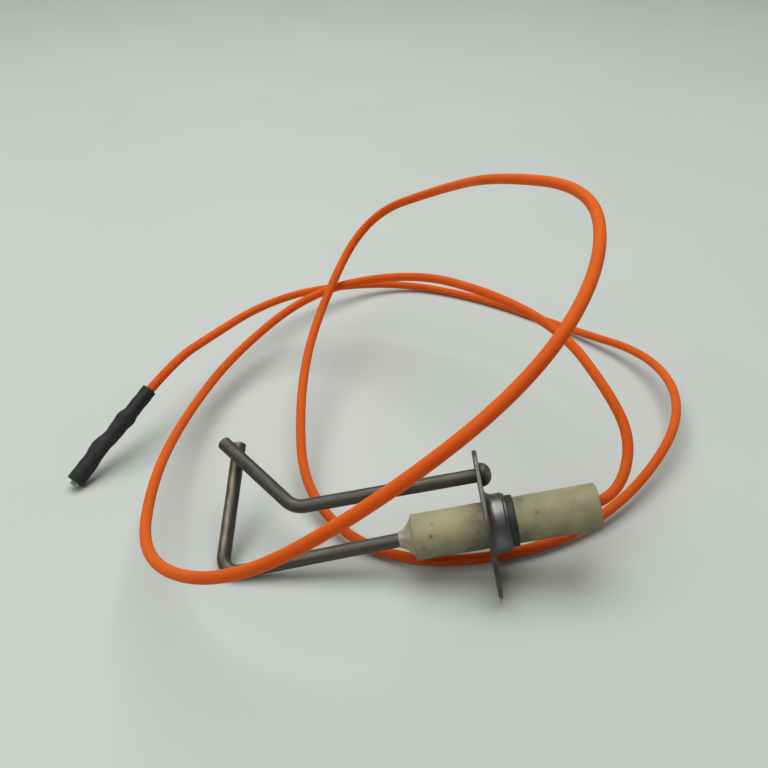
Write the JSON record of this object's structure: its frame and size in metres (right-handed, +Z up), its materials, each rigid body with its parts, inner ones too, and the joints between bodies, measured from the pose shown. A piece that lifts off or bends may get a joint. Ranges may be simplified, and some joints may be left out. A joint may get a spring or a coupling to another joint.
{
  "type": "ignition electrode",
  "caption": "Spark ignition electrode: a ceramic insulator in an oval flange, a bent spark rod, an earth rod riveted to the flange and an orange silicone lead.",
  "frame": {"origin": "on the surface that the electrode lies on, under the middle of its box, the free lead left out", "axes": "+Z up; +X along the electrode, from the rod tips towards the end of the insulator where the lead leaves, level; +Y across it, towards the side where the lead lies"},
  "size_m": [0.1593, 0.164, 0.0772],
  "materials": {
    "ceramic": "matt, unglazed, cream",
    "flange_steel": "dull pressed steel, darkened",
    "ring_black": "matt black",
    "packing": "compressed mineral packing",
    "rod_steel": "drawn heat-resisting steel, grey-brown",
    "cement": "dry cement, faintly pink",
    "ferrule_steel": "plain",
    "potting": "cured compound",
    "silicone_orange": "satin orange silicone",
    "copper": "tinned copper strand",
    "sleeve_black": "matt black shrink sleeve",
    "terminal_tin": "tinned strip"
  },
  "bodies": {
    "root": {"ceramic_insulator": "ceramic", "mounting_flange": "flange_steel", "front_packing_ring": "packing", "rear_packing_ring": "packing", "retaining_ring": "ring_black", "spark_rod": "rod_steel", "earth_rod": "rod_steel", "rod_cement": "cement", "splice_ferrule": "ferrule_steel", "potting_plug": "potting", "lead_insulation": "silicone_orange", "lead_conductor": "copper", "terminal_sleeve": "sleeve_black", "push_on_terminal": "terminal_tin"}
  },
  "joints": []
}
